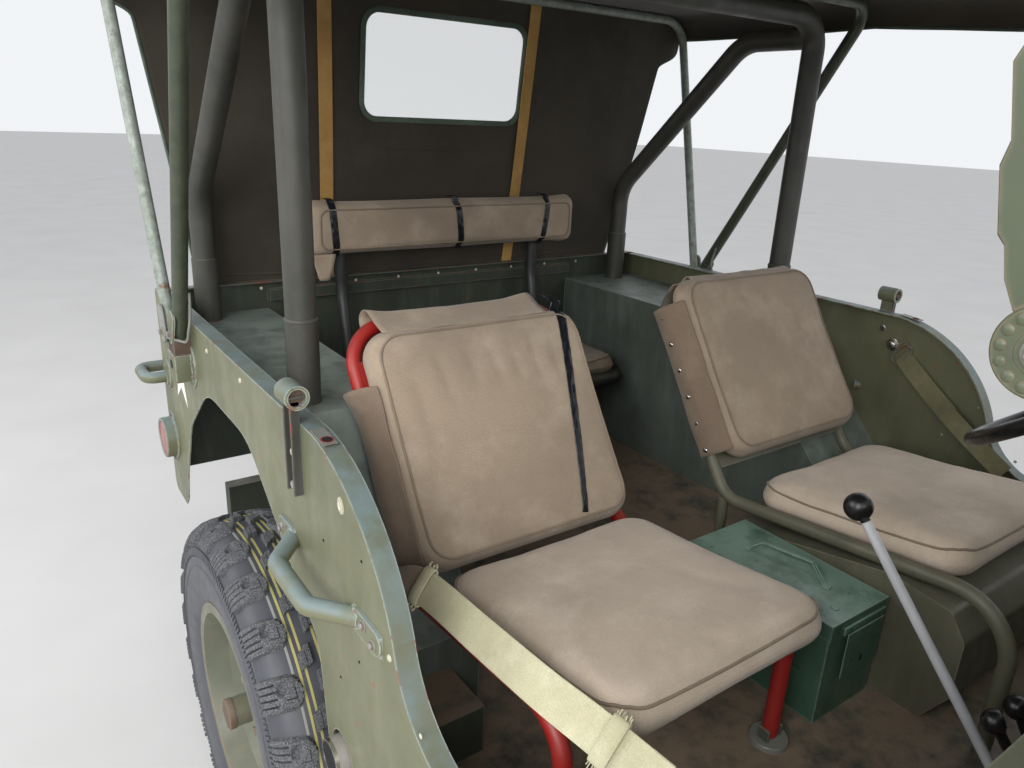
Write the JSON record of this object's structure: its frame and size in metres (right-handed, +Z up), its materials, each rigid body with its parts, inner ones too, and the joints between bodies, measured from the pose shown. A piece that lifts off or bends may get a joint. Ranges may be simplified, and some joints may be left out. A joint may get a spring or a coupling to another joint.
{
  "type": "army 4x4 car",
  "caption": "Open army 4x4 car with a canvas top on bows, roll cage, steered front wheels, hinged hood, tipping passenger seat, stowage box and rear spare wheel.",
  "frame": {"origin": "on the ground below the middle of the car's bounding box", "axes": "the car faces -Y, its left side is +X, +Z is up"},
  "size_m": [1.56, 3.354, 1.7273],
  "materials": {
    "body_paint": "satin",
    "chassis": "satin",
    "engine_paint": "satin",
    "rim_paint": "satin",
    "cage_paint": "satin",
    "bow_paint": "satin",
    "dark_steel": "satin",
    "seat_red": "satin",
    "box_paint": "satin",
    "black_parts": "gloss",
    "exhaust_steel": "satin",
    "tyre": "matte",
    "canvas": "matte",
    "cushion": "matte",
    "lamp_lens": "gloss",
    "glass": "gloss",
    "clear_sheet": "gloss"
  },
  "bodies": {
    "car": {"canvas_top": "canvas", "chassis_frame": "chassis", "controls": "black_parts", "cowl": "body_paint", "driveline": "chassis", "driver_cushions": "cushion", "driver_seat_frame": "body_paint", "engine_and_radiator": "engine_paint", "exhaust": "exhaust_steel", "fenders": "body_paint", "front_axle": "chassis", "fuel_tank": "body_paint", "grille": "body_paint", "lamps": "lamp_lens", "rear_axle": "chassis", "rear_cushions": "cushion", "rear_panel": "body_paint", "rear_seat_frame": "dark_steel", "rear_window": "clear_sheet", "roll_cage": "cage_paint", "side_panel_left": "body_paint", "side_panel_right": "body_paint", "spare_rim": "rim_paint", "spare_tyre": "tyre", "stowage_box": "box_paint", "top_bows": "bow_paint", "tub_floor": "body_paint", "wheel_boxes": "body_paint", "windshield_frame": "body_paint", "windshield_glass": "glass"},
    "knuckle_left": {"knuckle_left": "chassis"},
    "knuckle_right": {"knuckle_right": "chassis"},
    "wheel_front_left": {"tyre_front_left": "tyre", "rim_front_left": "rim_paint"},
    "wheel_front_right": {"tyre_front_right": "tyre", "rim_front_right": "rim_paint"},
    "wheel_rear_left": {"tyre_rear_left": "tyre", "rim_rear_left": "rim_paint"},
    "wheel_rear_right": {"tyre_rear_right": "tyre", "rim_rear_right": "rim_paint"},
    "tie_rod": {"tie_rod": "chassis"},
    "steering_wheel": {"steering_wheel": "black_parts"},
    "hood": {"hood": "body_paint"},
    "stowage_lid": {"stowage_lid": "box_paint"},
    "passenger_seat": {"passenger_seat_frame": "seat_red", "passenger_cushions": "cushion"}
  },
  "joints": [
    {"name": "steer_left", "type": "hinge", "parent": "car", "child": "knuckle_left", "pos_m": [0.575, -1.154, 0.362], "axis": [0, 0, 1], "range_deg": [-26, 26]},
    {"name": "steer_right", "type": "hinge", "parent": "car", "child": "knuckle_right", "pos_m": [-0.575, -1.154, 0.362], "axis": [0, 0, 1], "range_deg": [-26, 26]},
    {"name": "tie_rod_slide", "type": "slide", "parent": "car", "child": "tie_rod", "axis": [1, 0, 0], "range_m": [-0.064, 0.064]},
    {"name": "steering_wheel_turn", "type": "hinge", "parent": "car", "child": "steering_wheel", "pos_m": [0.34, 0.016, 1.088], "axis": [0, 0.6157, 0.788], "range_deg": [-365, 365]},
    {"name": "hood_hinge", "type": "hinge", "parent": "car", "child": "hood", "pos_m": [0, -0.4295, 1.016], "axis": [-1, 0, 0], "range_deg": [0, 95]},
    {"name": "lid_hinge", "type": "hinge", "parent": "car", "child": "stowage_lid", "pos_m": [0.033, 0.467, 0.683], "axis": [-1, 0, 0], "range_deg": [0, 110]},
    {"name": "passenger_seat_tip", "type": "hinge", "parent": "car", "child": "passenger_seat", "pos_m": [-0.34, 0.19, 0.552], "axis": [1, 0, 0], "range_deg": [0, 60]},
    {"name": "spin_front_left", "type": "hinge", "parent": "knuckle_left", "child": "wheel_front_left", "pos_m": [0.69, -1.154, 0.362], "axis": [1, 0, 0], "continuous": true},
    {"name": "spin_front_right", "type": "hinge", "parent": "knuckle_right", "child": "wheel_front_right", "pos_m": [-0.69, -1.154, 0.362], "axis": [1, 0, 0], "continuous": true},
    {"name": "spin_rear_left", "type": "hinge", "parent": "car", "child": "wheel_rear_left", "pos_m": [0.69, 0.878, 0.362], "axis": [1, 0, 0], "continuous": true},
    {"name": "spin_rear_right", "type": "hinge", "parent": "car", "child": "wheel_rear_right", "pos_m": [-0.69, 0.878, 0.362], "axis": [1, 0, 0], "continuous": true}
  ],
  "couplings": [
    {"joint": "steer_right", "follows": "steer_left", "ratio": 1},
    {"joint": "tie_rod_slide", "follows": "steer_left", "m_per_rad": 0.14},
    {"joint": "steering_wheel_turn", "follows": "steer_left", "ratio": 14}
  ]
}
